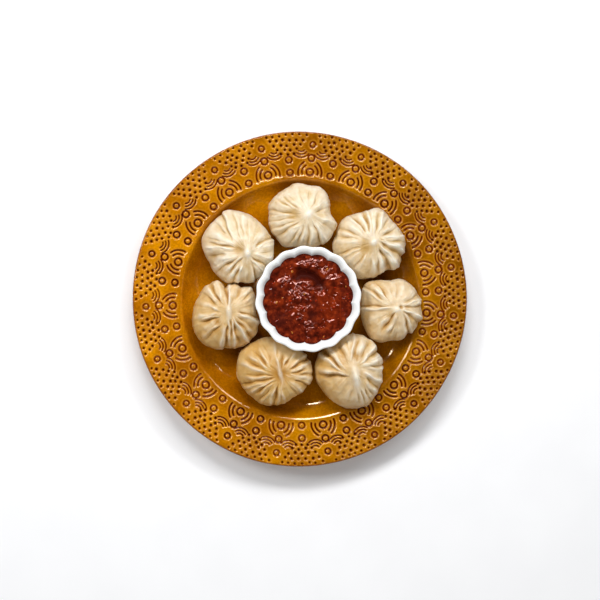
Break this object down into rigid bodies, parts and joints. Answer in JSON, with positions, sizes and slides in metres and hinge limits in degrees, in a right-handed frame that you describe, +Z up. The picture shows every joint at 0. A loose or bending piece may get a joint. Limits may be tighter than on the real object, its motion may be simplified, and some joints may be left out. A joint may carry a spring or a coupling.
{
  "type": "plate of momo dumplings",
  "caption": "Steamed momo dumplings with pleated tops, set round a scalloped pot of red chutney on a wide-rimmed stoneware plate, for serving.",
  "frame": {"origin": "centre of the plate's foot ring, on the table", "axes": "+Z up; +Y towards the momo that lies behind the chutney pot; +X towards the momo on its right"},
  "size_m": [0.26, 0.26, 0.0481],
  "materials": {
    "amber_glaze": "glossy amber-brown glaze",
    "white_porcelain": "glossy white glaze",
    "red_chutney": "wet, coarse tomato and chilli chutney",
    "steamed_dough": "soft steamed wheat dough with a satin sheen"
  },
  "bodies": {
    "root": {"plate": "amber_glaze", "chutney_pot": "white_porcelain", "chutney": "red_chutney", "momo_north": "steamed_dough", "momo_northeast": "steamed_dough", "momo_east": "steamed_dough", "momo_southeast": "steamed_dough", "momo_southwest": "steamed_dough", "momo_west": "steamed_dough", "momo_northwest": "steamed_dough"}
  },
  "joints": []
}
